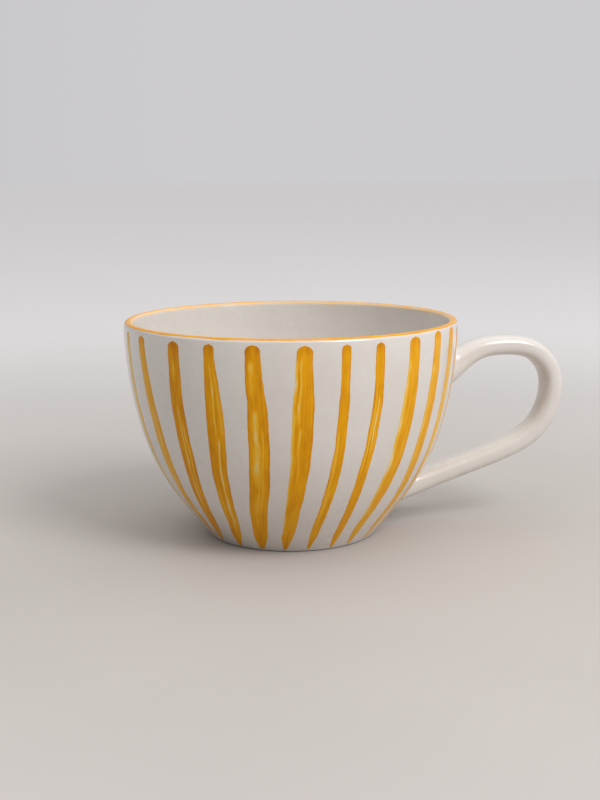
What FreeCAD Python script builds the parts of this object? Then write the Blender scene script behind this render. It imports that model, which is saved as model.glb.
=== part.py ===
"""A wide hand-painted ceramic mug with a loop handle. Millimetres, +Z up, handle towards +X.

The origin is on the bowl's axis, in the plane of the foot that the mug stands on.
Each layer is its own solid: the clay bowl and strap handle, the two slip joints that hold the
handle on, the glaze coats, the painted rim band and the brushed stripes.
"""
import FreeCAD, Part
import math
import os

V = FreeCAD.Vector
AXIS = V(0, 0, 1)
ORIGIN = V(0, 0, 0)

# Driving dimensions of the bowl
rim_radius = 55.0          # outside of the rim, glaze included
height = 72.0              # from the table to the crest of the lip
upper_curve = 132.0        # radius of the nearly upright upper wall
lower_curve = 71.0         # radius of the rounder lower wall
joint_angle = 15.2         # degrees below level where the two curves meet
wall = 3.8                 # through the lower wall, both glaze coats included
lip_width = 2.9            # across the lip just below its crest
lip_drop = 1.4             # height of the rounded lip
inner_curve = 160.0        # radius of the upper wall inside, straighter than outside
floor_height = 7.0         # glazed floor inside the bowl
floor_fillet = 18.0        # radius between the floor and the wall
glaze = 0.3                # thickness of each glaze coat

# Foot
glaze_end = 0.3            # height where the outside glaze stops and bare clay begins
base_angle = 38.0          # degrees below level where the belly runs out into a straight wall
foot_radius = 27.3         # outer edge of the flat that stands on the table
foot_width = 3.6           # width of that flat
recess_height = 2.6        # how far the underside is turned in above the table
foot_bevel = 1.6           # run of the slope from the flat up into the recess

# Painting
band_height = 1.0          # how far the rim band reaches down from the crest
paint = 0.2                # how far the brushed pigment stands proud
stripe_gap = 1.2           # bare glaze between the band and the top of a stripe
stripe_foot = 1.2          # height of the stripes' lower tips
stripe_lean = -3.5         # degrees that a stripe drifts round between its top and its tip
lean_growth = 1.5          # power by which that drift grows towards the tip
stroke_shape = [(0.93, 0.92), (0.75, 1.0), (0.5, 0.98), (0.28, 0.8), (0.1, 0.5)]  # level, width

# Handle
slip = 1.0                 # thickness of the slip that joins the handle to the wall
strap_thick = 3.5          # half the thickness of the strap, in the plane of the loop
strap_wide = 5.5           # half the width of the strap
root_thick = 4.6           # extra half thickness at the upper root
root_wide = 2.4            # extra half width at the upper root
tail_thick = 0.9           # extra half thickness at the lower end
tail_wide = 1.6            # extra half width at the lower end
root_reach = 7.0           # how fast the upper flare dies away along the strap
tail_reach = 9.0           # the same for the lower flare
strap_square = 2.6         # exponent of the rounded section: 2 is an ellipse
strap_stations = 19        # sections that the strap is lofted through
section_points = 16        # points round each section

# Middle line of the strap in the X-Z plane, from inside the upper wall to inside the lower one
strap_line = [(45.9, 51.6), (54.6, 54.0), (65.0, 59.3), (75.0, 60.5), (84.5, 58.6), (91.2, 51.2),
              (91.6, 41.6), (86.6, 31.3), (74.5, 24.0), (59.0, 18.7), (43.1, 13.9), (33.0, 11.3)]

# Stripes: degrees round from the handle, and width at the widest, as a painter placed them
stripes = [(12.5, 4.6), (26.0, 5.4), (39.5, 4.0), (53.0, 5.8), (66.5, 5.0), (80.0, 3.8),
           (93.5, 5.6), (107.5, 6.2), (121.0, 4.4), (134.5, 5.2), (148.0, 3.6), (161.5, 5.8),
           (174.5, 4.8), (189.0, 4.2), (203.5, 4.4), (218.7, 5.2), (233.2, 5.8), (247.5, 6.3),
           (262.5, 6.4), (275.8, 3.6), (287.5, 3.6), (300.5, 6.0), (313.5, 5.2), (325.5, 4.4),
           (336.0, 4.6), (347.3, 3.8)]

upper_centre = V(rim_radius - upper_curve, 0, height)


def polar(centre, radius, angle):
    """The point at a radius from a centre in the X-Z plane, angle in degrees below level."""
    a = math.radians(angle)
    return V(centre.x + radius * math.cos(a), 0, centre.z - radius * math.sin(a))


lower_centre = polar(upper_centre, upper_curve - lower_curve, joint_angle)
inner_joint = polar(lower_centre, lower_curve - wall, joint_angle)
inner_centre = polar(inner_joint, -inner_curve, joint_angle)
fillet_drop = lower_centre.z - floor_height - floor_fillet
fillet_angle = math.degrees(math.asin(fillet_drop / (lower_curve - wall - floor_fillet)))
fillet_centre = polar(lower_centre, lower_curve - wall - floor_fillet, fillet_angle)
base_slope = math.tan(math.radians(base_angle))


def angle_at(centre, radius, z):
    """Degrees below level at which a circle of that radius passes height z."""
    return math.degrees(math.asin((centre.z - z) / radius))


def arc(centre, radius, start, end):
    """Arc from one angle to another, in degrees below level."""
    points = [polar(centre, radius, a) for a in (start, (start + end) / 2, end)]
    return Part.Arc(*points).toShape()


def line(*points):
    """Straight edges from point to point."""
    return [Part.LineSegment(a, b).toShape() for a, b in zip(points, points[1:])]


def end_point(edge):
    return edge.valueAt(edge.LastParameter)


def start_point(edge):
    return edge.valueAt(edge.FirstParameter)


def outside_line(out, bottom=glaze_end):
    """Outer wall from a height near the foot to the start of the lip, moved outwards by out."""
    top = angle_at(upper_centre, upper_curve + out, height - lip_drop)
    walls = [arc(lower_centre, lower_curve + out, base_angle, joint_angle),
             arc(upper_centre, upper_curve + out, joint_angle, top)]
    corner = start_point(walls[0])
    foot = V(corner.x - base_slope * (corner.z - bottom), 0, bottom)
    return line(foot, corner) + walls


def inside_line(out):
    """Inner wall from the lip down to the middle of the floor, moved into the wall by out."""
    top = angle_at(inner_centre, inner_curve + out, height - lip_drop)
    walls = [arc(inner_centre, inner_curve + out, top, joint_angle),
             arc(lower_centre, lower_curve - wall + out, joint_angle, fillet_angle),
             arc(fillet_centre, floor_fillet + out, fillet_angle, 90)]
    return walls + line(end_point(walls[-1]), V(0, 0, floor_height - out))


def lip_line(outer, inner, out):
    """The rounded lip between the two walls, its crest moved up by out."""
    crest = V((outer.x + inner.x) / 2, 0, height + out)
    return [Part.Arc(outer, crest, inner).toShape()]


def turned(edges):
    """The solid of revolution of a closed outline round the mug's axis."""
    face = Part.Face(Part.Wire(Part.__sortEdges__(edges)))
    return face.revolve(ORIGIN, AXIS, 360)


def vessel(out, base):
    """An open bowl whose surfaces stand out by that much; base is its outline from axis to wall."""
    outer, inner = outside_line(out), inside_line(-out)
    lip = lip_line(end_point(outer[-1]), start_point(inner[0]), out)
    return turned(line(V(0, 0, floor_height + out), *base, start_point(outer[0]))
                  + outer + lip + inner)


def filled(out):
    """The whole space inside an outer wall that is moved outwards by out."""
    outer = outside_line(out, glaze_end / 2)
    low, high = start_point(outer[0]), end_point(outer[-1])
    return turned(line(V(0, 0, high.z), V(0, 0, low.z), low) + outer + line(high, V(0, 0, high.z)))


def slab(low, high):
    """A block wider than the mug between two heights."""
    wide = 4 * rim_radius
    return Part.makeBox(wide, wide, high - low, V(-wide / 2, -wide / 2, low))


def single(shape):
    """The largest solid of a shape."""
    return max(shape.Solids, key=lambda solid: solid.Volume)


def bowl_clay():
    """The fired clay bowl with its bare foot ring and turned recess."""
    flat_in = foot_radius - foot_width
    base = [V(0, 0, recess_height), V(flat_in - foot_bevel, 0, recess_height),
            V(flat_in, 0, 0), V(foot_radius, 0, 0)]
    return vessel(-glaze, base)


def coats():
    """The glaze coat over the bowl, split into outside, inside and the band on the lip."""
    plain = vessel(-glaze, [V(0, 0, glaze_end)])
    coat = vessel(0, [V(0, 0, glaze_end)]).cut(plain)
    band = single(coat.common(slab(height - band_height, height + wall)))
    sides = coat.cut(slab(height - band_height, height + wall)).Solids
    outside = max(sides, key=lambda solid: solid.BoundBox.XLength)
    inside = min(sides, key=lambda solid: solid.BoundBox.XLength)
    return outside, inside, band


def underside_coat():
    """The glaze poured into the recess under the bowl."""
    edge = foot_radius - foot_width - foot_bevel - glaze
    return Part.makeCylinder(edge, glaze, V(0, 0, recess_height - glaze))


def strap_curve():
    curve = Part.BSplineCurve()
    curve.interpolate([V(x, 0, z) for x, z in strap_line])
    return curve


def strap_section(curve, share, trim):
    """The strap's rounded section at a share of its length, pulled in by trim."""
    length = curve.length()
    place = curve.parameterAtDistance(share * length)
    centre, tangent = curve.value(place), V(*curve.tangent(place)[0])
    across = tangent.cross(V(0, 1, 0))
    root = math.exp(-((share * length / root_reach) ** 2) / 2)
    tail = math.exp(-(((1 - share) * length / tail_reach) ** 2) / 2)
    thick = strap_thick + root_thick * root + tail_thick * tail - trim
    wide = strap_wide + root_wide * root + tail_wide * tail - trim
    points = []
    for k in range(section_points):
        turn = 2 * math.pi * k / section_points
        c, s = math.cos(turn), math.sin(turn)
        x = math.copysign(abs(c) ** (2 / strap_square), c) * thick
        y = math.copysign(abs(s) ** (2 / strap_square), s) * wide
        points.append(centre + across * x + V(0, y, 0))
    outline = Part.BSplineCurve()
    outline.interpolate(points, True)
    return Part.Wire(outline.toShape())


def strap(trim):
    """The whole strap, running a little way into the wall at both ends."""
    curve = strap_curve()
    shares = [k / (strap_stations - 1) for k in range(strap_stations)]
    return Part.makeLoft([strap_section(curve, s, trim) for s in shares], True, False)


def radius_at(z):
    """Radius of the glazed outer wall at a height."""
    corner = polar(lower_centre, lower_curve, base_angle)
    if z < corner.z:
        return corner.x - base_slope * (corner.z - z)
    joint = polar(lower_centre, lower_curve, joint_angle).z
    centre, curve = (upper_centre, upper_curve) if z > joint else (lower_centre, lower_curve)
    return polar(centre, curve, angle_at(centre, curve, z)).x


def brushed_stripe(skin, angle, width):
    """One tapering stroke: a slice of the thin skin outside the glaze, turned to its angle."""
    top = height - band_height - stripe_gap
    left, right = [], []
    for level, share in stroke_shape:
        z = stripe_foot + level * (top - stripe_foot)
        middle = radius_at(z) * math.radians(stripe_lean) * (1 - level) ** lean_growth
        left.append(V(0, middle - share * width / 2, z))
        right.append(V(0, middle + share * width / 2, z))
    tip = V(0, radius_at(stripe_foot) * math.radians(stripe_lean), stripe_foot)
    outline = Part.BSplineCurve()
    outline.interpolate([V(0, 0, top)] + right + [tip] + left[::-1], True)
    prism = Part.Face(Part.Wire(outline.toShape())).extrude(V(2 * rim_radius, 0, 0))
    stroke = single(skin.common(prism))
    stroke.rotate(ORIGIN, AXIS, angle)
    return stroke


def painted_stripes():
    """Every stroke, cut from one thin skin that lies on the glazed outer wall."""
    outer, inner = outside_line(paint), outside_line(0)
    ends = [(end_point(inner[-1]), end_point(outer[-1])), (start_point(inner[0]), start_point(outer[0]))]
    skin = turned(inner + outer + line(*ends[0]) + line(*ends[1]))
    return Part.makeCompound([brushed_stripe(skin, a, w) for a, w in stripes])


def save(name, shape):
    shape.exportStep(f"parts/{name}.step")
    print(f"{name}: {len(shape.Solids)} solid(s), {shape.Volume:.0f} mm3, valid {shape.isValid()}")


def main():
    os.makedirs("parts", exist_ok=True)
    outside, inside, band = coats()
    core, skin = strap(glaze), strap(0)
    joints = core.common(filled(slip - glaze)).cut(filled(-glaze)).Solids
    joints.sort(key=lambda solid: solid.CenterOfMass.z)
    save("cup_body", bowl_clay())
    save("handle", single(core.cut(filled(slip - glaze))))
    save("lower_slip_joint", joints[0])
    save("upper_slip_joint", joints[-1])
    save("outside_glaze", single(outside.cut(core)))
    save("inside_glaze", inside)
    save("underside_glaze", underside_coat())
    save("handle_glaze", single(skin.cut(filled(0)).cut(core)))
    save("rim_band", band)
    save("painted_stripes", painted_stripes())


main()
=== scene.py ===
# %% [markdown]
# # A breakfast mug with brushed stripes
#
# The real mug is a stack of thin layers fired into one: a turned clay bowl, a strap handle stuck on
# with slip, a warm white glaze, an ochre line round the lip and upright ochre strokes down the
# outside. This lesson makes each layer as its own mesh, in the order that a potter would.
#
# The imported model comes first. It is the measuring jig: every size below is read from it, or is a
# potter's dimension in millimetres that it was turned to.

# %% Load the measuring jig
import bpy
import math
import random
from mathutils import Matrix, Vector, noise


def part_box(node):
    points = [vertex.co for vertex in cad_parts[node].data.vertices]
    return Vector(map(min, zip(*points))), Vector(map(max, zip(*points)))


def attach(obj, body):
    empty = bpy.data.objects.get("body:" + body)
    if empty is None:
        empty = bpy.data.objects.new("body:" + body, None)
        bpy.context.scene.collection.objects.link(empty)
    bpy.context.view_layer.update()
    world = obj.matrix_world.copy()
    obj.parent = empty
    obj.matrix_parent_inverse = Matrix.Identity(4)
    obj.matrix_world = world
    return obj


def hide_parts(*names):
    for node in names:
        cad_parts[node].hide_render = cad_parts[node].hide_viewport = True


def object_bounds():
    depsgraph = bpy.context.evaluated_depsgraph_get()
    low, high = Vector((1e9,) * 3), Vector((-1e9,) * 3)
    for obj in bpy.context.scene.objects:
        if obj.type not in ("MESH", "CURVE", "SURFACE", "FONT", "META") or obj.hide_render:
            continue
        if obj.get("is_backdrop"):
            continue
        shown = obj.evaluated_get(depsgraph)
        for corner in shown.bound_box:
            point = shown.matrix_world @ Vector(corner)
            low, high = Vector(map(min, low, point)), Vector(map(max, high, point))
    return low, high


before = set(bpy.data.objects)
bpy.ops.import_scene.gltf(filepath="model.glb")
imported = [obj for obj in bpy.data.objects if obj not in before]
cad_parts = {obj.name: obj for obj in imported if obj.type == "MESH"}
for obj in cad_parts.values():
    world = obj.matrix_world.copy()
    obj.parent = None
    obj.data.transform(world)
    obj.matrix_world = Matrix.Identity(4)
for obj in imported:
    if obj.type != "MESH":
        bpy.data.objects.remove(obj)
mm = 0.001
cad_low, cad_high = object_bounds()
height = cad_high.z
rim_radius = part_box("outside_glaze")[1].y
print(f"mug {height / mm:.1f} mm high, rim radius {rim_radius / mm:.2f} mm, reach {cad_high.x / mm:.1f} mm")

# %% [markdown]
# ## The bowl's outline
#
# A bowl like this is shaped with a rib, a stiff curved tool held against the spinning clay, so its
# wall is a run of smooth curves. Two arcs that share a tangent describe it better than points
# would: a shallow one for the upright upper wall and a rounder one for the belly. Low down the belly
# runs out into a straight cone, where the potter pares away the spare clay beside the foot. An arc is
# easy to move in or out by the thickness of a coat, because only its radius changes.

# %% The outside curve
upper_curve, lower_curve = 132 * mm, 71 * mm
joint_angle = math.radians(15.2)
base_angle = math.radians(38)
glaze_end = 0.3 * mm
skin = 0.12 * mm


def along(centre, radius, angle):
    """The (radius, height) point on an arc, with the angle measured below level."""
    return centre[0] + radius * math.cos(angle), centre[1] - radius * math.sin(angle)


upper_centre = (rim_radius - skin - upper_curve, height)
lower_centre = along(upper_centre, upper_curve - lower_curve, joint_angle)
joint_height = along(lower_centre, lower_curve, joint_angle)[1]


def outside_radius(z, out=0.0):
    """Radius of the outer wall at a height, with the wall moved outwards by out."""
    corner = along(lower_centre, lower_curve + out, base_angle)
    if z < corner[1]:
        return corner[0] - (corner[1] - z) * math.tan(base_angle)
    centre, curve = (lower_centre, lower_curve) if z < joint_height else (upper_centre, upper_curve)
    return centre[0] + math.sqrt((curve + out) ** 2 - (z - centre[1]) ** 2)


print(f"belly radius {outside_radius(height / 2) / mm:.2f} mm, foot {outside_radius(glaze_end) / mm:.2f} mm")

# %% [markdown]
# The inside follows the same belly arc, set in by the wall's thickness. Towards the lip it runs
# straighter than the outside, so the wall thins as it rises, and at the bottom a fillet carries it
# into a flat floor where a spoon can reach.

# %% The inside curve
wall = 3.8 * mm
inner_curve = 160 * mm
floor_height = 7 * mm
floor_fillet = 18 * mm
inner_joint = along(lower_centre, lower_curve - wall, joint_angle)
inner_centre = along(inner_joint, -inner_curve, joint_angle)
fillet_reach = lower_curve - wall - floor_fillet
fillet_angle = math.asin((lower_centre[1] - floor_height - floor_fillet) / fillet_reach)
fillet_centre = along(lower_centre, fillet_reach, fillet_angle)
fillet_top = along(fillet_centre, floor_fillet, fillet_angle)[1]


def inside_radius(z, into=0.0):
    """Radius of the inner wall at a height, with the wall moved into the clay by into."""
    if z > inner_joint[1]:
        centre, curve = inner_centre, inner_curve
    elif z > fillet_top:
        centre, curve = lower_centre, lower_curve - wall
    else:
        centre, curve = fillet_centre, floor_fillet
    return centre[0] + math.sqrt(max((curve + into) ** 2 - (z - centre[1]) ** 2, 0))


print(f"inside the lip {inside_radius(height) / mm:.2f} mm, flat floor {fillet_centre[0] / mm:.2f} mm")

# %% [markdown]
# ## Rows of points
#
# A lathe or screw modifier would spin the outline for us, but a hand-made bowl isn't perfectly
# round. So each ring is written out point by point, and one small function, `wander`, pushes it in
# and out by a tenth of a millimetre. Every layer asks the same function, so the layers stay
# together, and highlights get the slight waver that real glaze has.

# %% The hand's small errors
around = 288


def wander(turn, z):
    """How far the wall strays from a true circle at this place."""
    share = z / height
    oval = 0.060 * math.cos(2 * turn + 0.6) + 0.030 * math.cos(3 * turn - 1.1)
    rings = 0.012 * math.sin(math.tau * z / (9 * mm) + 1.5 * math.sin(turn))
    return mm * (oval * share + rings)


def round_point(turn, radius, z):
    """A point of the bowl: its true radius plus the hand's error there."""
    r = max(radius + wander(turn, z) * min(1, radius / (20 * mm)), 0)
    return Vector((r * math.cos(turn), r * math.sin(turn), z))


print(f"largest error at the rim {max(wander(k / 50, height) for k in range(315)) / mm:.3f} mm")

# %% [markdown]
# Meshes here are grids: rows of points, each joined to the next by quads. `grid_mesh` closes a grid
# round the bowl, and can also close it the other way, from the last row to the first, which turns a
# thin shell into a watertight coat with no stray faces. Quads in even rows also shade smoothly, so
# no bevel or subdivision is needed.

# %% From rows to a mesh
def add_piece(name, points, faces):
    """Links a smooth-shaded mesh made of those points and faces."""
    mesh = bpy.data.meshes.new(name)
    mesh.from_pydata([tuple(p) for p in points], [], faces)
    mesh.validate()
    mesh.polygons.foreach_set("use_smooth", [True] * len(mesh.polygons))
    mesh.update()
    piece = bpy.data.objects.new(name, mesh)
    bpy.context.scene.collection.objects.link(piece)
    print(f"{name}: {len(mesh.vertices)} points, {len(mesh.polygons)} faces")
    return piece


def grid_mesh(name, rows, loop=True, caps=False):
    """Quads between neighbouring rows; loop joins the last row to the first, caps closes both ends."""
    count, size = len(rows), len(rows[0])
    points = [p for row in rows for p in row]
    faces = []
    for r in range(count if loop else count - 1):
        a, b = r * size, (r + 1) % count * size
        faces += [(a + k, a + (k + 1) % size, b + (k + 1) % size, b + k) for k in range(size)]
    for first, flip in ((0, True), ((count - 1) * size, False)) if caps else ():
        middle = len(points)
        points.append(sum(points[first:first + size], Vector()) / size)
        ring = [(first + k, first + (k + 1) % size, middle) for k in range(size)]
        faces += [face[::-1] for face in ring] if flip else ring
    return add_piece(name, points, faces)


def spun(name, outline, loop=True, caps=False):
    """A grid mesh from an outline of (radius, height) points, turned round the bowl's axis."""
    turns = [math.tau * k / around for k in range(around)]
    return grid_mesh(name, [[round_point(t, r, z) for t in turns] for r, z in outline], loop, caps)


# %% [markdown]
# ## The lip
#
# The lip is a half ellipse from the outer wall over to the inner one. It is measured by an angle
# that starts at 0 on the outside, passes 90 degrees on the crest and ends at 180 on the inside. Rows
# that cross the axis stop at a tiny ring instead of a point, so that no face is squeezed to nothing.

# %% Outline pieces
lip_drop, crest_clearance = 1.4 * mm, 0.08 * mm
lip_base = height - crest_clearance - lip_drop
axis_ring = 0.4 * mm
lip_outer, lip_inner = outside_radius(lip_base), inside_radius(lip_base)
lip_middle, lip_half = (lip_outer + lip_inner) / 2, (lip_outer - lip_inner) / 2


def lip_point(angle, out=0.0):
    return lip_middle + (lip_half + out) * math.cos(angle), lip_base + (lip_drop + out) * math.sin(angle)


def steps(low, high, count):
    """Even steps from low to high, both ends included."""
    return [low + (high - low) * k / (count - 1) for k in range(count)]


def outside_rows(low, out):
    """Outer wall from a height up to the start of the lip, in finer steps round the foot."""
    heights = steps(low, 4 * mm, 14) + steps(4 * mm, lip_base, 70)[1:]
    return [(outside_radius(z, out), z) for z in heights]


def inside_rows(into, count=44):
    """Inner wall from the lip down, round the fillet and along the floor to near the axis."""
    rows = [(inside_radius(z, into), z) for z in steps(lip_base, fillet_top, count)]
    turns = steps(fillet_angle, math.pi / 2, 16)[1:]
    rows += [along(fillet_centre, floor_fillet + into, a) for a in turns]
    return rows + [(r, floor_height - into) for r in steps(fillet_centre[0], axis_ring, 14)[1:]]


print(f"lip {2 * lip_half / mm:.2f} mm wide, its crest at {lip_point(math.pi / 2)[1] / mm:.2f} mm")

# %% [markdown]
# ## The clay bowl
#
# Under the glaze is a closed clay body. Only its foot shows: a flat ring that was wiped clean so
# that it wouldn't stick to the kiln shelf, a bevel, and a shallow recess with the fine rings that a
# turning tool leaves. Those rings are real geometry here, because light grazes them when the mug is
# turned over.

# %% Throw the bowl
glaze = 0.3 * mm
foot_out, foot_in = 27.3 * mm, 23.7 * mm
recess_edge, recess_height = 22.1 * mm, 2.6 * mm
tool_pitch, tool_depth = 1.15 * mm, 0.035 * mm
foot_round, recess_round = 0.3 * mm, 0.7 * mm
recess_blend, recess_rows = 1.2 * mm, 90


def rounded(corner, before, after, size, count=5):
    """A short curve that takes the place of a sharp corner."""
    def towards(end):
        far = math.dist(corner, end)
        return tuple(c + (e - c) * size / far for c, e in zip(corner, end))
    a, b = towards(before), towards(after)
    return [tuple((1 - t) ** 2 * p + 2 * t * (1 - t) * c + t * t * q for p, c, q in zip(a, corner, b))
            for t in steps(0, 1, count)]


foot_top = (outside_radius(glaze_end, -glaze), glaze_end)
foot_corners = [(recess_edge, recess_height), (foot_in, 0), (foot_out, 0), foot_top]
recess = [(r, recess_height + tool_depth * math.sin(math.tau * r / tool_pitch))
          for r in steps(axis_ring, recess_edge - recess_blend, recess_rows)]
foot = []
for k in (1, 2):
    foot += rounded(foot_corners[k], foot_corners[k - 1], foot_corners[k + 1], foot_round)
foot = rounded(foot_corners[0], recess[-1], foot_corners[1], recess_round) + foot
lip_turns = steps(0, math.pi, 17)[1:-1]
clay_outline = (recess + foot + outside_rows(glaze_end, -glaze)
                + [lip_point(a, -glaze) for a in lip_turns] + inside_rows(glaze))
clay_bowl = spun("clay_bowl", clay_outline, loop=False, caps=True)

# %% [markdown]
# ## The white coats
#
# Glaze is poured, so each coat has an even thickness and a soft rolled edge where it stops. The
# outside coat climbs from that edge above the foot, over half the lip; the inside coat takes the
# other half and covers the floor. Each is a closed skin with an outer face, an inner face against
# the clay, and rounded ends: its outline runs along one face and comes back along the other. The
# inside coat starts and ends at the axis, so there each of its two faces is closed with a cap.

# %% Pour the glaze
crest = math.pi / 2
edge_bead, edge_drop = 0.10 * mm, 0.12 * mm
edge_shoulder, shoulder_drop = 0.03 * mm, 0.04 * mm
edge_rise = 0.25 * mm

outer_turns = steps(0, crest, 12)[1:]
outside_face = outside_rows(glaze_end + edge_rise, 0) + [lip_point(a) for a in outer_turns]
outside_back = outside_rows(glaze_end, -glaze) + [lip_point(a, -glaze) for a in outer_turns]
rolled = [(outside_radius(glaze_end, -glaze) + edge_bead, glaze_end - edge_drop),
          (outside_radius(glaze_end) - edge_shoulder, glaze_end - shoulder_drop)]
outside_coat = spun("outside_coat", rolled + outside_face + outside_back[::-1])

inner_turns = steps(crest, math.pi, 12)[:-1]
inside_face = [lip_point(a) for a in inner_turns] + inside_rows(0)
inside_back = [lip_point(a, -glaze) for a in inner_turns] + inside_rows(glaze)
inside_coat = spun("inside_coat", inside_face[::-1] + inside_back, loop=False, caps=True)

# %% [markdown]
# The recess under the foot gets its own puddle of glaze. It thins and rolls off before the bevel,
# and its face is very slightly domed, as a puddle is.

# %% The puddle under the foot
puddle_edge = recess_edge - 1.6 * mm
puddle_rise, puddle_overlap = 0.12 * mm, 0.15 * mm
puddle_face = [(r, recess_height - glaze + puddle_rise * (r / puddle_edge) ** 6)
               for r in steps(axis_ring, puddle_edge, 30)]
puddle_back = [(r, recess_height + tool_depth) for r in steps(axis_ring, puddle_edge + puddle_overlap, 10)]
recess_coat = spun("recess_coat", puddle_face + puddle_back[::-1], loop=False, caps=True)

# %% [markdown]
# ## The strap's middle line
#
# The handle is a strap of clay pulled by hand, then bent into a loop. Its middle line is a smooth
# curve through a dozen points in one upright plane. A Bezier curve object with a bevel would give a
# tube, but this strap changes width along its length, so its sections are placed by code on a
# natural cubic spline.

# %% The line of the loop
strap_line = [(45.9, 51.6), (54.6, 54.0), (65.0, 59.3), (75.0, 60.5), (84.5, 58.6), (91.2, 51.2),
              (91.6, 41.6), (86.6, 31.3), (74.5, 24.0), (59.0, 18.7), (43.1, 13.9), (33.0, 11.3)]
strap_points = [Vector((x, 0, z)) * mm for x, z in strap_line]


def natural_spline(points):
    """A function of arc share that passes smoothly through points, straightening at both ends."""
    knots = [0.0]
    for a, b in zip(points, points[1:]):
        knots.append(knots[-1] + (b - a).length)
    last = len(points) - 1
    gaps = [knots[k + 1] - knots[k] for k in range(last)]
    bend = [Vector() for _ in points]
    rates = [0.0] * len(points)
    pulls = [Vector() for _ in points]
    for k in range(1, last):
        slope = (points[k + 1] - points[k]) / gaps[k] - (points[k] - points[k - 1]) / gaps[k - 1]
        pivot = 2 * (gaps[k - 1] + gaps[k]) - gaps[k - 1] * rates[k - 1]
        rates[k] = gaps[k] / pivot
        pulls[k] = (6 * slope - gaps[k - 1] * pulls[k - 1]) / pivot
    for k in range(last - 1, 0, -1):
        bend[k] = pulls[k] - rates[k] * bend[k + 1]

    def at(share):
        x = min(max(share, 0), 1) * knots[-1]
        k = max(i for i in range(last) if knots[i] <= x or i == 0)
        a, b, h = knots[k + 1] - x, x - knots[k], gaps[k]
        ends = (bend[k] * a ** 3 + bend[k + 1] * b ** 3) / (6 * h)
        return ends + (points[k] / h - bend[k] * h / 6) * a + (points[k + 1] / h - bend[k + 1] * h / 6) * b
    return at, knots[-1]


strap_at, strap_length = natural_spline(strap_points)
furthest = max(strap_at(share).x for share in steps(0, 1, 201))
print(f"strap {strap_length / mm:.1f} mm long, furthest out {furthest / mm:.2f} mm")

# %% [markdown]
# ## The strap's section
#
# A pulled strap is a flattened oval. A superellipse with an exponent between 2 and 3 gives that:
# rounder than a box, fuller than an ellipse. It swells at both ends, where the potter presses and
# smooths it onto the wall.

# %% Sections along the loop
strap_thick, strap_wide = 3.5 * mm, 5.5 * mm
root_thick, root_wide, root_reach = 4.6 * mm, 2.4 * mm, 7 * mm
tail_thick, tail_wide, tail_reach = 0.9 * mm, 1.6 * mm, 9 * mm
strap_square = 2.6
strap_inset, strap_uneven = 0.06 * mm, 0.10 * mm


def signed_power(value, power):
    return math.copysign(abs(value) ** power, value)


def strap_point(share, turn, trim=0.0):
    """A point on the strap's surface: share along its length, turn round its section."""
    step = 0.002
    tangent = (strap_at(share + step) - strap_at(share - step)).normalized()
    across = tangent.cross(Vector((0, 1, 0)))
    root = math.exp(-((share * strap_length / root_reach) ** 2) / 2)
    tail = math.exp(-(((1 - share) * strap_length / tail_reach) ** 2) / 2)
    uneven = strap_uneven * noise.noise(Vector((share * 7, math.cos(turn), math.sin(turn))))
    inset = trim + strap_inset - uneven
    thick = strap_thick + root_thick * root + tail_thick * tail - inset
    wide = strap_wide + root_wide * root + tail_wide * tail - inset
    x = thick * signed_power(math.cos(turn), 2 / strap_square)
    y = wide * signed_power(math.sin(turn), 2 / strap_square)
    return strap_at(share) + across * x + Vector((0, y, 0))


def outside_gap(point, out=0.0):
    """How far a point is outside the outer wall, level with itself."""
    return math.hypot(point.x, point.y) - outside_radius(max(point.z, glaze_end), out)


def meeting_share(turn, out, trim, near_start):
    """Where a line along the strap's surface crosses the wall moved out by out, by halving."""
    inside, outside = (0.0, 0.25) if near_start else (1.0, 0.72)
    for _ in range(40):
        middle = (inside + outside) / 2
        if outside_gap(strap_point(middle, turn, trim), out) < 0:
            inside = middle
        else:
            outside = middle
    return (inside + outside) / 2


print(f"strap meets the wall at {meeting_share(0, 0, 0, True):.3f} and {meeting_share(0, 0, 0, False):.3f}")

# %% [markdown]
# ## Glaze over the strap
#
# Where a handle joins a mug there is no seam: the potter wipes the slip into a small hollow curve
# and the glaze flows over it. To get that, each line along the strap stops a little short of the
# wall and finishes as a quadratic Bezier: it starts along the strap, aims at the point where strap
# and wall would meet, and ends lying flat on the wall. The last ring dives just under the wall's
# glaze, so the join can't be seen.

# %% Blend the strap into the wall
strap_around = 64
blend_steps = 9
blend_lift, blend_sink, blend_tuck = 0.006 * mm, 0.25 * mm, 0.12 * mm
strap_turns = [math.tau * k / strap_around for k in range(strap_around)]


def on_wall(point, out):
    """The nearest point of the outer wall, straight in or out at the same height."""
    turn = math.atan2(point.y, point.x)
    return round_point(turn, outside_radius(point.z, out), point.z)


def spread_ring(ring, reach, out):
    """A ring of wall points pushed outwards from its middle by reach, staying on the wall."""
    middle = sum(ring, Vector()) / len(ring)
    spread = []
    for k, p in enumerate(ring):
        side = ring[(k + 1) % len(ring)] - ring[k - 1]
        normal = Vector((p.x, p.y, 0)).normalized()
        push = side.cross(normal).normalized()
        push *= math.copysign(1, push.dot(p - middle))
        spread.append(on_wall(p + push * reach, out))
    return spread


def blend_rows(near_start, reach):
    """Rows from under the wall's glaze out to the plain strap, and the share where they end."""
    shares = [meeting_share(t, 0, 0, near_start) for t in strap_turns]
    corner = [strap_point(s, t) for s, t in zip(shares, strap_turns)]
    feet = spread_ring(corner, reach, blend_lift)
    sign = 1 if near_start else -1
    ends = [s + sign * reach / strap_length for s in shares]
    tops = [strap_point(s, t) for s, t in zip(ends, strap_turns)]
    rows = [spread_ring(corner, reach * 0.4, -blend_sink),
            spread_ring(corner, reach + 0.5 * mm, -blend_tuck)]
    for t in steps(0, 1, blend_steps):
        ends_here = zip(feet, corner, tops)
        rows.append([(1 - t) ** 2 * f + 2 * t * (1 - t) * c + t * t * p for f, c, p in ends_here])
    return rows, ends


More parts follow.
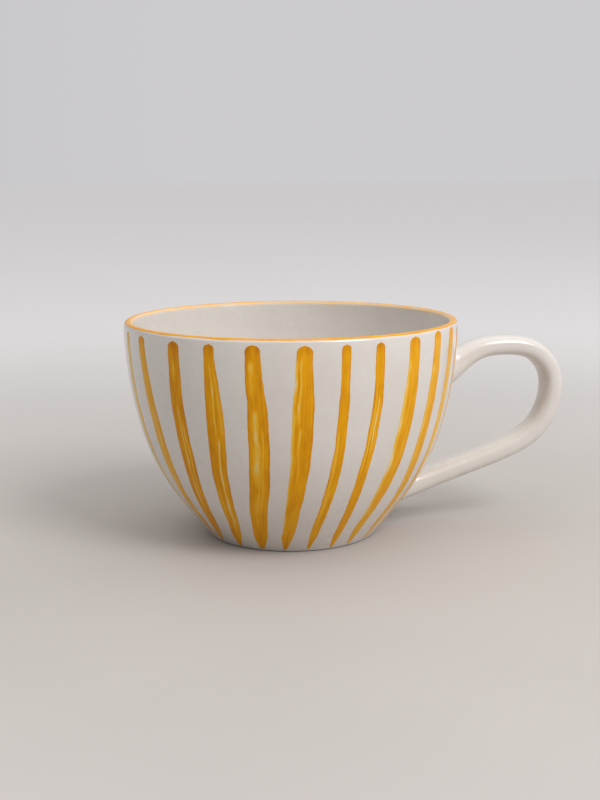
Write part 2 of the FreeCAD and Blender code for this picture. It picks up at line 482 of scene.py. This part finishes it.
def strap_rows():
    head, head_ends = blend_rows(True, 3.0 * mm)
    tail, tail_ends = blend_rows(False, 3.2 * mm)
    rows = list(head)
    for blend in steps(0, 1, 130)[1:-1]:
        shares = [a + (b - a) * blend for a, b in zip(head_ends, tail_ends)]
        rows.append([strap_point(s, t) for s, t in zip(shares, strap_turns)])
    return rows + tail[::-1]


strap_coat = grid_mesh("strap_coat", strap_rows(), loop=False, caps=True)

# %% [markdown]
# Inside that coat are the clay strap and the two pads of slip that glue it on. Nobody sees them in
# a whole mug, but they are real pieces, so each gets a closed mesh cut to the wall's curve.

# %% The clay strap and its slip
slip = 1.0 * mm
core_trim = glaze + 0.1 * mm


def cut_row(out, near_start):
    """The ring where the clay strap crosses the wall moved out by out."""
    return [strap_point(meeting_share(t, out, core_trim, near_start), t, core_trim) for t in strap_turns]


def clay_rows():
    heads = [meeting_share(t, slip - glaze, core_trim, True) for t in strap_turns]
    tails = [meeting_share(t, slip - glaze, core_trim, False) for t in strap_turns]
    ends = list(zip(heads, tails, strap_turns))
    return [[strap_point(a + (b - a) * blend, t, core_trim) for a, b, t in ends] for blend in steps(0, 1, 80)]


clay_strap = grid_mesh("clay_strap", clay_rows(), loop=False, caps=True)
slip_levels = steps(-glaze, slip - glaze, 4)
upper_slip = grid_mesh("upper_slip", [cut_row(o, True) for o in slip_levels], False, True)
lower_slip = grid_mesh("lower_slip", [cut_row(o, False) for o in slip_levels[::-1]], False, True)

# %% [markdown]
# ## The painted lip
#
# The painter loads a brush, rests it on the lip and turns the mug under it. The line is therefore
# even on the crest and wavers at both edges. It is a very thin closed band: proud of the glaze in
# the middle, thinning to nothing at its edges, with a hidden underside just below the glaze. On the
# inside the melting glaze drags some pigment down with it, so that edge reaches further and fades.
# For the fade, the band carries an attribute, `stroke`, that says how far across each point is.

# %% Run the line round the lip
lip_line_outer, lip_line_inner = math.radians(36), math.radians(168)
paint_height = 0.03 * mm
paint_root = 0.10 * mm
line_across = 18


def waver(turn, seed, pace, depth):
    """A smooth, repeating wobble round the bowl, from layered noise on a circle."""
    place = Vector((math.cos(turn) * pace, math.sin(turn) * pace, seed))
    return depth * (noise.noise(place) + 0.5 * noise.noise(place * 2.7))


def crowned(side):
    """Height of a film of paint from its middle (0) to its edge (1): flat, then rolled off."""
    return math.sqrt(max(1 - abs(side) ** 6, 0))


def film(across, height_over, root):
    """Round a thin film's section: (side, height) over the top from -1 to 1 and back underneath."""
    over = [(s, height_over * (2 * crowned(s) - 0.9)) for s in steps(-1, 1, across)]
    return over + [(s, -root) for s in steps(1, -1, 5)[1:-1]]


def annotate(piece, name, vectors):
    """Stores a vector on every point of a piece, for its finish to read."""
    layer = piece.data.attributes.new(name, "FLOAT_VECTOR", "POINT")
    layer.data.foreach_set("vector", [x for v in vectors for x in v])


def paint_lip():
    grid, notes = [], []
    for side, out in film(line_across, paint_height, paint_root):
        ring = []
        for k in range(2 * around):
            turn = math.tau * k / (2 * around)
            start = lip_line_outer + waver(turn, 3.0, 5, math.radians(8))
            end = lip_line_inner + waver(turn, 8.0, 6, math.radians(14))
            radius, z = lip_point(start + (end - start) * (side + 1) / 2, out)
            ring.append(round_point(turn, radius, z))
            notes.append((side, 0, 0))
        grid.append(ring)
    band = grid_mesh("rim_line", grid)
    annotate(band, "stroke", notes)
    return band


rim_line = paint_lip()

# %% [markdown]
# ## The brushed strokes
#
# Each stripe is one pull of a loaded brush from just under the lip down to the foot. Paint pools
# where the brush lands, so the top is round and dark; the bristles spread over the belly and close
# to a point at the foot. Where they part, they leave a pale line. No two strokes are alike, so the
# ones on the front are described one by one: degrees round at five heights, width at the same
# heights, where the stroke starts, how much paint it holds, and its pale lines. The fifth height is
# under the foot, and only steers the tip. A pale line is its place across (-1 to 1), its half width,
# its strength, and where it starts and stops on the way down.

# %% Describe the strokes
levels = [66 * mm, 48 * mm, 30 * mm, 12 * mm, -6 * mm]
stroke_tip = 0.9 * mm
front_strokes = [
    ((189.0, 189.5, 191.0, 190.0, 186.0), (3.8, 4.4, 4.2, 3.0, 1.6), 70.0, 0.70, [(0.3, 0.5, 0.3, 2, 60)]),
    ((201.8, 203.6, 204.5, 202.0, 197.0), (4.0, 4.8, 4.8, 3.8, 2.0), 70.1, 1.02,
     [(-0.4, 0.3, 0.5, 2, 66), (0.1, 0.12, 0.9, 20, 58)]),
    ((218.9, 218.4, 218.1, 213.7, 205.0), (4.8, 5.4, 5.4, 4.4, 2.4), 70.0, 1.22,
     [(-0.1, 0.28, 0.6, 5, 15), (-0.05, 0.10, 1.3, 19, 58), (0.42, 0.08, 1.0, 24, 52)]),
    ((232.8, 233.3, 231.7, 228.8, 220.6), (3.9, 6.2, 5.8, 4.6, 2.4), 70.1, 1.18,
     [(0.0, 0.13, 0.9, 5, 32), (0.2, 0.11, 1.4, 28, 64), (0.6, 0.2, 0.6, 8, 30)]),
    ((247.2, 248.0, 247.3, 243.2, 237.4), (5.0, 6.6, 6.9, 5.6, 3.2), 70.3, 1.18,
     [(-0.35, 0.3, 0.9, 4, 18), (-0.2, 0.3, 1.15, 19, 47), (0.3, 0.1, 0.6, 24, 56),
      (-0.1, 0.2, 0.5, 46, 64)]),
    ((263.1, 262.7, 261.6, 258.1, 252.2), (5.2, 6.9, 6.0, 4.5, 2.4), 70.1, 1.15,
     [(-0.95, 0.26, 1.0, 4, 66), (-0.35, 0.13, 1.3, 3, 26), (-0.2, 0.1, 0.8, 24, 46)]),
    ((276.2, 275.9, 274.8, 271.8, 267.6), (2.9, 3.4, 3.6, 3.1, 2.0), 70.1, 1.12, [(-0.4, 0.3, 0.5, 26, 62)]),
    ((287.9, 287.8, 286.2, 285.0, 283.8), (3.4, 3.6, 3.5, 3.0, 1.8), 70.1, 1.12,
     [(-0.4, 0.2, 0.6, 11, 45), (0.15, 0.11, 1.1, 15, 38)]),
    ((302.0, 301.5, 300.2, 298.0, 297.4), (5.0, 6.1, 5.6, 4.2, 2.2), 70.7, 1.05, [(-0.8, 0.34, 0.8, 6, 66)]),
    ((314.5, 314.0, 313.2, 314.2, 313.0), (4.6, 5.2, 5.0, 3.9, 2.0), 71.2, 1.0, [(-0.6, 0.3, 0.5, 9, 60)]),
    ((326.0, 325.6, 325.0, 324.4, 323.0), (4.6, 5.0, 4.7, 3.6, 1.8), 71.2, 0.86, [(0.0, 0.5, 0.3, 4, 60)]),
]
far_angles = [337.0, 347.6, 12.6, 26.0, 39.5, 53.0, 66.5, 80.0,
              93.5, 107.5, 121.0, 134.5, 148.0, 161.5, 175.0]
hand = random.Random(11)


def pale_line():
    """One gap between bristles, somewhere across and somewhere down a stroke."""
    start = hand.uniform(2, 30)
    place = hand.choice([-0.9, -0.4, -0.25, 0.0, 0.3, 0.9])
    return place, hand.uniform(0.1, 0.3), hand.uniform(0.5, 1.2), start, start + hand.uniform(18, 44)


def far_stroke(angle):
    """A stroke drawn by the same hand on the side away from the front."""
    drift, sway = hand.uniform(-5.0, 0.0), hand.uniform(-0.7, 0.7)
    width = hand.choice([3.5, 4.2, 5.0, 5.6, 6.1])
    angles = (angle, angle + sway, angle + sway + 0.3 * drift, angle + 0.8 * drift, angle + 1.8 * drift)
    widths = (0.84 * width, width, 0.96 * width, 0.76 * width, 0.42 * width)
    gaps = [pale_line() for _ in range(hand.choice([1, 2, 2, 3]))]
    return angles, widths, hand.uniform(69.8, 70.6), hand.uniform(0.98, 1.22), gaps


strokes = front_strokes + [far_stroke(a) for a in far_angles]
print(f"{len(strokes)} strokes, {len(front_strokes)} of them described by hand")

# %% [markdown]
# Between the five levels the values are joined with a smooth curve, and the edges get a waver of
# their own. `paint_left` works out how much paint the bristles leave at a place: all of it at the
# landing, less along each pale line, a little less as the brush runs dry.

# %% The brush
def smooth_between(values, z):
    """A value at a height, from the values at the five levels (Catmull-Rom)."""
    place = max((levels[0] - z) / (levels[0] - levels[1]), -0.25)
    k = min(max(int(place), 0), len(levels) - 2)
    t = place - k
    p = [values[min(max(i, 0), len(values) - 1)] for i in (k - 1, k, k + 1, k + 2)]
    return 0.5 * (2 * p[1] + (p[2] - p[0]) * t + (2 * p[0] - 5 * p[1] + 4 * p[2] - p[3]) * t * t
                  + (3 * p[1] - p[0] - 3 * p[2] + p[3]) * t ** 3)


def ease(value, low, high):
    """0 below low, 1 above high and a smooth step between."""
    t = min(max((value - low) / (high - low), 0), 1)
    return t * t * (3 - 2 * t)


def end_rounding(z, top, width):
    """Narrows a stroke to a round end at its top and to a soft point at its tip."""
    landing = min((top - z) / (0.42 * width), 1)
    lifting = min(max((z - stroke_tip) / (5 * mm), 0), 1)
    return max(1 - (1 - landing) ** 2, 0) ** 0.55 * (0.25 + 0.75 * lifting ** 0.6)


def paint_left(side, down, load, gaps, seed):
    """Paint at a place: side is -1 to 1 across the stroke, down is the distance from its top in mm."""
    left = load - 0.10 * ease(down, 40, 68)
    for place, half_width, strength, start, stop in gaps:
        wander_across = 0.14 * noise.noise(Vector((down / 9, place, seed)))
        width = half_width * (1 + 0.5 * noise.noise(Vector((down / 4, place, seed + 5))))
        near = 1 - ease(abs(side - place - wander_across), 0.35 * width, 1.3 * width)
        broken = 0.75 + 0.5 * noise.noise(Vector((down / 5, place, seed + 9)))
        open_here = ease(down, start, start + 3) * (1 - ease(down, stop - 8, stop))
        left -= 0.75 * strength * near * broken * open_here
    return left


# %% [markdown]
# A stroke is then a narrow grid of points laid on the wall. Two attributes go with it for the
# shader: `stroke` says how far across (-1 to 1) and how far down and across in millimetres each
# point is, and `paint` says how much paint is there, with a number that makes this stroke's fine
# streaks its own.

# %% Lay the strokes on the wall
stroke_across, stroke_along = 25, 120
stroke_height = 0.03 * mm
stroke_root = 0.12 * mm
edge_sway, edge_fray = 0.26 * mm, 0.12 * mm


def lay_stroke(number, angles, widths, top, load, gaps):
    seed = 10.0 + 3.7 * number
    top, rows, notes, paint = top * mm, [], [], []
    for share in steps(0, 1, stroke_along):
        z = top + (stroke_tip - top) * (share * 0.9 + 0.1 * share * share * (3 - 2 * share))
        width = smooth_between(widths, z) * mm
        half = max(0.5 * width * end_rounding(z, top, width), 0.02 * mm)
        middle = math.radians(smooth_between(angles, z))
        rough = [edge_sway * noise.noise(Vector((z / (7 * mm), edge, seed)))
                 + edge_fray * noise.noise(Vector((z / (1.8 * mm), edge, seed))) for edge in (0, 9)]
        low, high = -half + min(rough[0], half / 2), half + max(rough[1], -half / 2)
        row, down = [], (top - z) / mm
        for side, out in film(stroke_across, stroke_height, stroke_root):
            across = low + (high - low) * (side + 1) / 2
            row.append(round_point(middle + across / outside_radius(z), outside_radius(z, out), z))
            notes.append((side, down, across / mm))
            paint.append((paint_left(side, down, load, gaps, seed), seed, 0))
        rows.append(row)
    piece = grid_mesh(f"stripe_{number:02d}", rows, loop=False, caps=True)
    annotate(piece, "stroke", notes + [(0, 0, 0), (0, down, 0)])
    annotate(piece, "paint", paint + [(load, seed, 0)] * 2)
    return piece


stripes = [lay_stroke(k + 1, *stroke) for k, stroke in enumerate(strokes)]

# %% [markdown]
# ## Outward faces
#
# Grids can come out inside out, depending on which way they were walked. The sign of a mesh's
# volume tells: it is negative when the faces point inwards. One loop checks every piece and flips
# those that need it, so that the shading and the solids agree.

# %% Turn every skin the right way out
pieces = [clay_bowl, outside_coat, inside_coat, recess_coat, strap_coat, clay_strap, upper_slip,
          lower_slip, rim_line, *stripes]


def signed_volume(mesh):
    """Six times the volume, positive when faces point outwards."""
    total = 0.0
    for face in mesh.polygons:
        corners = [mesh.vertices[v].co for v in face.vertices]
        total += sum(corners[0].dot(b.cross(c)) for b, c in zip(corners[1:], corners[2:]))
    return total


for piece in pieces:
    if signed_volume(piece.data) < 0:
        piece.data.flip_normals()
    print(f"{piece.name}: {signed_volume(piece.data) / 6 * 1e6:.3f} cm3")

# %% [markdown]
# ## Shader sums in plain Python
#
# Finishes are sums: so much streak, less so much pale line, more at the edges. Wiring Math nodes by
# hand hides such a sum, so `Signal` wraps one output socket and lets `+`, `-` and `*` build the
# nodes. `Recipe` is one finish: it owns the node tree, and its `node` method adds any other node. A
# room's light is mixed the same way, so a recipe can be given a world to fill instead of a material.

# %% A signal and a recipe
class Signal:
    """A number or colour on its way between two shader nodes."""

    def __init__(self, recipe, socket):
        self.recipe, self.socket = recipe, socket

    def math(self, operation, *values):
        return self.recipe.node("ShaderNodeMath", {"operation": operation}, dict(enumerate(values)))

    def __add__(self, other):
        return self.math("ADD", self, other)

    def __sub__(self, other):
        return self.math("SUBTRACT", self, other)

    def __rsub__(self, other):
        return self.math("SUBTRACT", other, self)

    def __mul__(self, other):
        return self.math("MULTIPLY", self, other)

    def __abs__(self):
        return self.math("ABSOLUTE", self)

    __radd__, __rmul__ = __add__, __mul__


class Recipe:
    """One finish: a material or a world, its shader and the nodes that feed it."""

    def __init__(self, name, world=None, **constants):
        self.material = world or bpy.data.materials.new(name)
        self.material.use_nodes = True
        self.tree = self.material.node_tree
        self.shader = self.tree.nodes["Background" if world else "Principled BSDF"]
        for socket, value in constants.items():
            self.shader.inputs[socket.replace("_", " ")].default_value = value

    def node(self, kind, settings=None, values=None, output=0):
        """Adds a node: settings first, then the values or links of its sockets."""
        made = self.tree.nodes.new(kind)
        for key, value in (settings or {}).items():
            if key == "stops":
                self.set_stops(made.color_ramp, value)
            else:
                setattr(made, key, value)
        for key, value in (values or {}).items():
            self.feed(made.inputs[key], value)
        return Signal(self, made.outputs[output])

    def feed(self, socket, value):
        if isinstance(value, Signal):
            self.tree.links.new(value.socket, socket)
        else:
            socket.default_value = value

    def set_stops(self, ramp, stops):
        while len(ramp.elements) < len(stops):
            ramp.elements.new(1.0)
        for element, (place, colour) in zip(ramp.elements, stops):
            element.position, element.color = place, (*colour, 1)

    def finish(self, **links):
        for socket, value in links.items():
            self.feed(self.shader.inputs[socket.replace("_", " ")], value)
        print(f"{self.material.name}: {len(self.tree.nodes)} nodes")
        return self.material

    def place(self):
        """Where the shaded point is, in metres in the mug's own frame."""
        return self.node("ShaderNodeTexCoord", output="Object")

    def attribute(self, name):
        """A vector stored on the mesh's points."""
        return self.node("ShaderNodeAttribute", {"attribute_name": name}, output="Vector")

    def part(self, vector, index):
        """One of a vector's three numbers."""
        return self.node("ShaderNodeSeparateXYZ", {}, {0: vector}, output=index)

    def stretched(self, vector, scale):
        """A coordinate multiplied by a different number along each axis."""
        return self.node("ShaderNodeVectorMath", {"operation": "MULTIPLY"}, {0: vector, 1: scale})

    def noise(self, vector, scale, detail=2.0, roughness=0.5):
        values = {"Vector": vector, "Scale": scale, "Detail": detail, "Roughness": roughness}
        return self.node("ShaderNodeTexNoise", {}, values)

    def ease(self, value, low, high, start=0.0, end=1.0):
        """Goes smoothly from start to end as value goes from low to high."""
        values = {"Value": value, 1: low, 2: high, 3: start, 4: end}
        return self.node("ShaderNodeMapRange", {"interpolation_type": "SMOOTHSTEP"}, values)

    def mix(self, factor, first, second):
        settings = {"data_type": "RGBA"}
        return self.node("ShaderNodeMix", settings, {0: factor, 6: first, 7: second}, output=2)

    def ramp(self, value, stops):
        return self.node("ShaderNodeValToRGB", {"stops": stops}, {0: value})

    def bump(self, height_signal, distance, strength=1.0):
        values = {"Height": height_signal, "Distance": distance, "Strength": strength}
        return self.node("ShaderNodeBump", {}, values)


# %% [markdown]
# ## The white glaze
#
# This glaze is a warm, slightly creamy white. It isn't one colour: it is a little darker and
# greyer where it lies thin, and a little warmer where it has gathered. Two sizes of noise give that
# cloudiness. A faint, wide bump makes reflections swim. The layer on top is the Principled shader's
# coat, which stays sharp while the body of the glaze under it is softer.

# %% Mix the white glaze
def white_glaze():
    recipe = Recipe("white_glaze", IOR=1.5, Coat_Weight=0.6, Coat_Roughness=0.09)
    place = recipe.place()
    cloud = recipe.noise(place, 38, 3, 0.55)
    fine = recipe.noise(place, 420, 3, 0.6)
    tone = recipe.ease(cloud * 0.75 + fine * 0.25, 0.22, 0.78)
    colour = recipe.mix(tone, (0.665, 0.622, 0.575, 1), (0.715, 0.683, 0.645, 1))
    swim = recipe.noise(place, 45, 1)
    bump = recipe.bump(swim, 0.15 * mm, 0.08)
    rough = recipe.ease(cloud, 0.3, 0.7, 0.22, 0.30)
    return recipe.finish(Base_Color=colour, Roughness=rough, Normal=bump)


glaze_finish = white_glaze()

# %% [markdown]
# ## The bare clay
#
# The foot and everything under the glaze is buff stoneware: matt, a little sandy, with darker
# grains. Its bump is short and sharp, unlike the glaze's.

# %% Mix the clay
def clay(name, light, dark):
    recipe = Recipe(name, IOR=1.45)
    place = recipe.place()
    body = recipe.noise(place, 140, 4, 0.6)
    grain = recipe.noise(place, 1600, 2, 0.7)
    colour = recipe.mix(recipe.ease(body, 0.3, 0.7), dark, light)
    colour = recipe.mix(recipe.ease(grain, 0.60, 0.70) * 0.5, colour, (0.25, 0.17, 0.11, 1))
    bump = recipe.bump(grain, 0.06 * mm, 0.8)
    rough = recipe.ease(body, 0.3, 0.7, 0.78, 0.92)
    return recipe.finish(Base_Color=colour, Roughness=rough, Normal=bump)


clay_finish = clay("buff_clay", (0.62, 0.52, 0.41, 1), (0.52, 0.42, 0.32, 1))
slip_finish = clay("dried_slip", (0.56, 0.46, 0.36, 1), (0.47, 0.38, 0.29, 1))

# %% [markdown]
# ## The ochre
#
# Brushed pigment is a thin wash, so its colour is a matter of thickness: pale straw where the
# bristles parted, mustard in the middle, deep ochre where it pooled. The shader starts from the
# stroke's own paint, adds fine streaks and pooled edges, and looks the colour up in a ramp. Streaks
# come from noise that is stretched a long way down the stroke and hardly at all across it.

# %% Mix the ochre
ochre_stops = [(0.0, (0.70, 0.63, 0.52)), (0.22, (0.78, 0.62, 0.30)), (0.45, (0.82, 0.49, 0.05)),
               (0.68, (0.80, 0.365, 0.002)), (1.0, (0.54, 0.185, 0.001))]


def brushed_ochre():
    recipe = Recipe("brushed_ochre", IOR=1.5, Specular_IOR_Level=0.14)
    stroke = recipe.attribute("stroke")
    side, down, across = [recipe.part(stroke, k) for k in range(3)]
    paint = recipe.attribute("paint")
    left, seed = [recipe.part(paint, k) for k in range(2)]

    def streaks(across_pace, down_pace, detail):
        """Noise drawn out along the stroke, different for every stroke."""
        parts = {0: across * across_pace, 1: down * down_pace, 2: seed}
        return recipe.noise(recipe.node("ShaderNodeCombineXYZ", {}, parts), 1.0, detail, 0.6)

    hairs = streaks(2.6, 0.05, 3)
    patches = streaks(0.5, 0.11, 2)
    edge = recipe.ease(abs(side), 0.70, 0.92)
    feather = recipe.ease(abs(side), 0.93, 1.0)
    landing = recipe.ease(down, 0.3, 4.0, 1, 0)
    thickness = (left * 0.66 + (hairs - 0.5) * 0.55 + (patches - 0.5) * 0.40 + edge * 0.06
                 + landing * 0.12 - feather * 0.22)
    colour = recipe.ramp(thickness, ochre_stops)
    bump = recipe.bump(hairs, 0.02 * mm, 0.35)
    rough = recipe.ease(thickness, 0.2, 0.9, 0.24, 0.32)
    return recipe.finish(Base_Color=colour, Roughness=rough, Normal=bump)


stripe_finish = brushed_ochre()

# %% [markdown]
# The line on the lip is the same pigment. It has no strokes to follow, so its blotches are read
# from the place in space. Across its inner half it fades to a pinkish tan, where the glaze has
# dragged a little of it down.

# %% Mix the lip's ochre
def lip_ochre():
    recipe = Recipe("lip_ochre", IOR=1.5, Specular_IOR_Level=0.2)
    place = recipe.place()
    blotch = recipe.noise(place, 90, 3, 0.55)
    hairs = recipe.noise(recipe.stretched(place, (1, 1, 12)), 130, 3, 0.6)
    side = recipe.part(recipe.attribute("stroke"), 0)
    faded = recipe.ease(side, 0.0, 0.6)
    thickness = 0.74 + (blotch - 0.5) * 0.35 + (hairs - 0.5) * 0.30 - faded * 0.25
    colour = recipe.mix(faded * 0.7, recipe.ramp(thickness, ochre_stops), (0.78, 0.62, 0.49, 1))
    bump = recipe.bump(hairs, 0.02 * mm, 0.35)
    rough = recipe.ease(blotch, 0.3, 0.7, 0.22, 0.32)
    return recipe.finish(Base_Color=colour, Roughness=rough, Normal=bump)


lip_finish = lip_ochre()

# %% [markdown]
# ## Dress the pieces and hang them on one body
#
# A mug has no moving parts, so every piece rides on the one body, `root`. Each also hides the
# imported nodes that it stands for.

# %% Dress and ride
def dress(piece, finish, slot, *nodes):
    piece.data.materials.append(finish)
    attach(piece, "root")
    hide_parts(*nodes)


dress(clay_bowl, clay_finish, "bare_clay", "cup_body")
dress(clay_strap, clay_finish, "bare_clay", "handle")
dress(upper_slip, slip_finish, "joining_slip", "upper_slip_joint")
dress(lower_slip, slip_finish, "joining_slip", "lower_slip_joint")
dress(outside_coat, glaze_finish, "white_glaze", "outside_glaze")
dress(inside_coat, glaze_finish, "white_glaze", "inside_glaze")
dress(recess_coat, glaze_finish, "white_glaze", "underside_glaze")
dress(strap_coat, glaze_finish, "white_glaze", "handle_glaze")
dress(rim_line, lip_finish, "ochre_pigment", "rim_band")
for stripe in stripes:
    dress(stripe, stripe_finish, "ochre_pigment", "painted_stripes")

# %% [markdown]
# ## The table
#
# A pale surface with a cloudy tone. Close to the mug its colour is darker and warmer, a painted
# shade round its foot, and it pales to grey further out. It is marked as stage, so it isn't counted
# as part of the mug.

# %% Lay the table
def table_finish():
    recipe = Recipe("pale_table", IOR=1.45, Specular_IOR_Level=0.1)
    place = recipe.place()
    cloud = recipe.noise(place, 6, 3)
    shaded_near_tone = recipe.mix(recipe.ease(cloud, 0.3, 0.7), (0.485, 0.460, 0.438, 1), (0.515, 0.485, 0.462, 1))
    distance = recipe.node("ShaderNodeVectorMath", {"operation": "LENGTH"}, {0: place}, output="Value")
    # Painted shade round the mug: darker, warmer colour within 8 cm, easing to pale grey by 60 cm.
    colour = recipe.mix(recipe.ease(distance, 0.08, 0.6), shaded_near_tone, (0.70, 0.69, 0.70, 1))
    return recipe.finish(Base_Color=colour, Roughness=recipe.ease(cloud, 0.3, 0.7, 0.62, 0.70))


table_half = 12.0
corners = [Vector((x * table_half, y * table_half, 0)) for x, y in ((-1, -1), (1, -1), (1, 1), (-1, 1))]
table = add_piece("table", corners, [(0, 1, 2, 3)])
table.data.materials.append(table_finish())
table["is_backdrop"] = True

# %% [markdown]
# ## The camera
#
# The camera stands at table height plus a hand, a little to the handle's left, and looks slightly
# down into the bowl. Its directions are built from the angles, and a tiny roll is kept because a
# hand-held camera is never quite level.

# %% Set the camera
handle_swing = math.radians(11)
camera_distance, camera_height = 0.4121, 0.1199
pitch, yaw, roll = math.radians(-10.42), math.radians(0.40), math.radians(-0.33)


def aim_camera():
    data = bpy.data.cameras.new("camera")
    data.lens, data.sensor_width = 56.25, 36
    camera = bpy.data.objects.new("camera", data)
    bpy.context.scene.collection.objects.link(camera)
    stand = Vector((-math.sin(handle_swing), -math.cos(handle_swing), 0)) * camera_distance
    heading = Matrix.Rotation(-handle_swing - yaw, 4, "Z")
    tilt = Matrix.Rotation(math.pi / 2 + pitch, 4, "X")
    camera.matrix_world = (Matrix.Translation(stand + Vector((0, 0, camera_height)))
                           @ heading @ tilt @ Matrix.Rotation(roll, 4, "Z"))
    bpy.context.scene.camera = camera
    print(f"camera {camera_distance:.3f} m away, {camera_height:.3f} m up")


aim_camera()

# %% [markdown]
# ## The light
#
# A soft window to the right of the camera gives the glaze its shape: bright on the right of the
# belly and on the left of the hollow inside, with a thin gleam under the lip. All other light comes
# from the room, a plain light grey. It is brighter on the window's side, so that the far side of
# the belly turns into shade, and brightest overhead, which fills the hollow and softens the shadow.

# %% Light the mug
def lamp(name, azimuth, elevation, distance, **settings):
    """A soft panel of light aimed at the mug; azimuth 0 is the camera's side, 90 its right."""
    data = bpy.data.lights.new(name, "AREA")
    for key, value in settings.items():
        setattr(data, key, value)
    light = bpy.data.objects.new(name, data)
    a, e = math.radians(azimuth) - handle_swing, math.radians(elevation)
    offset = Vector((math.sin(a) * math.cos(e), -math.cos(a) * math.cos(e), math.sin(e)))
    light.location = Vector((0, 0, height / 2)) + offset * distance
    light.rotation_euler = (-offset).to_track_quat("-Z", "Y").to_euler()
    bpy.context.scene.collection.objects.link(light)
    print(f"{name}: {azimuth} degrees round, {elevation} degrees up")


def room_light():
    recipe = Recipe("room", bpy.data.worlds.new("room"))
    direction = recipe.node("ShaderNodeTexCoord", output="Generated")
    towards = {0: direction, 1: (0.900, 0.436, 0)}
    lit = recipe.node("ShaderNodeVectorMath", {"operation": "DOT_PRODUCT"}, towards, output="Value")
    walls = recipe.mix(recipe.ease(lit, -0.8, 0.6), (0.14, 0.135, 0.14, 1), (0.61, 0.60, 0.615, 1))
    overhead = recipe.ease(recipe.part(direction, 2), 0.2, 1.0)
    return recipe.finish(Color=recipe.mix(overhead, walls, (1.15, 1.14, 1.13, 1)))


warm_white = (1.0, 0.985, 0.965)
lamp("window", 46, 42, 1.5, shape="RECTANGLE", size=0.6, size_y=0.8, energy=12, color=warm_white)
bpy.context.scene.world = room_light()
bpy.context.scene.view_settings.view_transform = "Standard"

# %% [markdown]
# ## The sizes side by side
#
# The sizes of the imported model and of these meshes are printed side by side.

# %% Print the sizes side by side
new_low, new_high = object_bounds()
for side, (a, b) in zip("xyz", zip(zip(cad_low, cad_high), zip(new_low, new_high))):
    print(f"{side}: jig {a[0] / mm:.2f} to {a[1] / mm:.2f}, mug {b[0] / mm:.2f} to {b[1] / mm:.2f} mm")
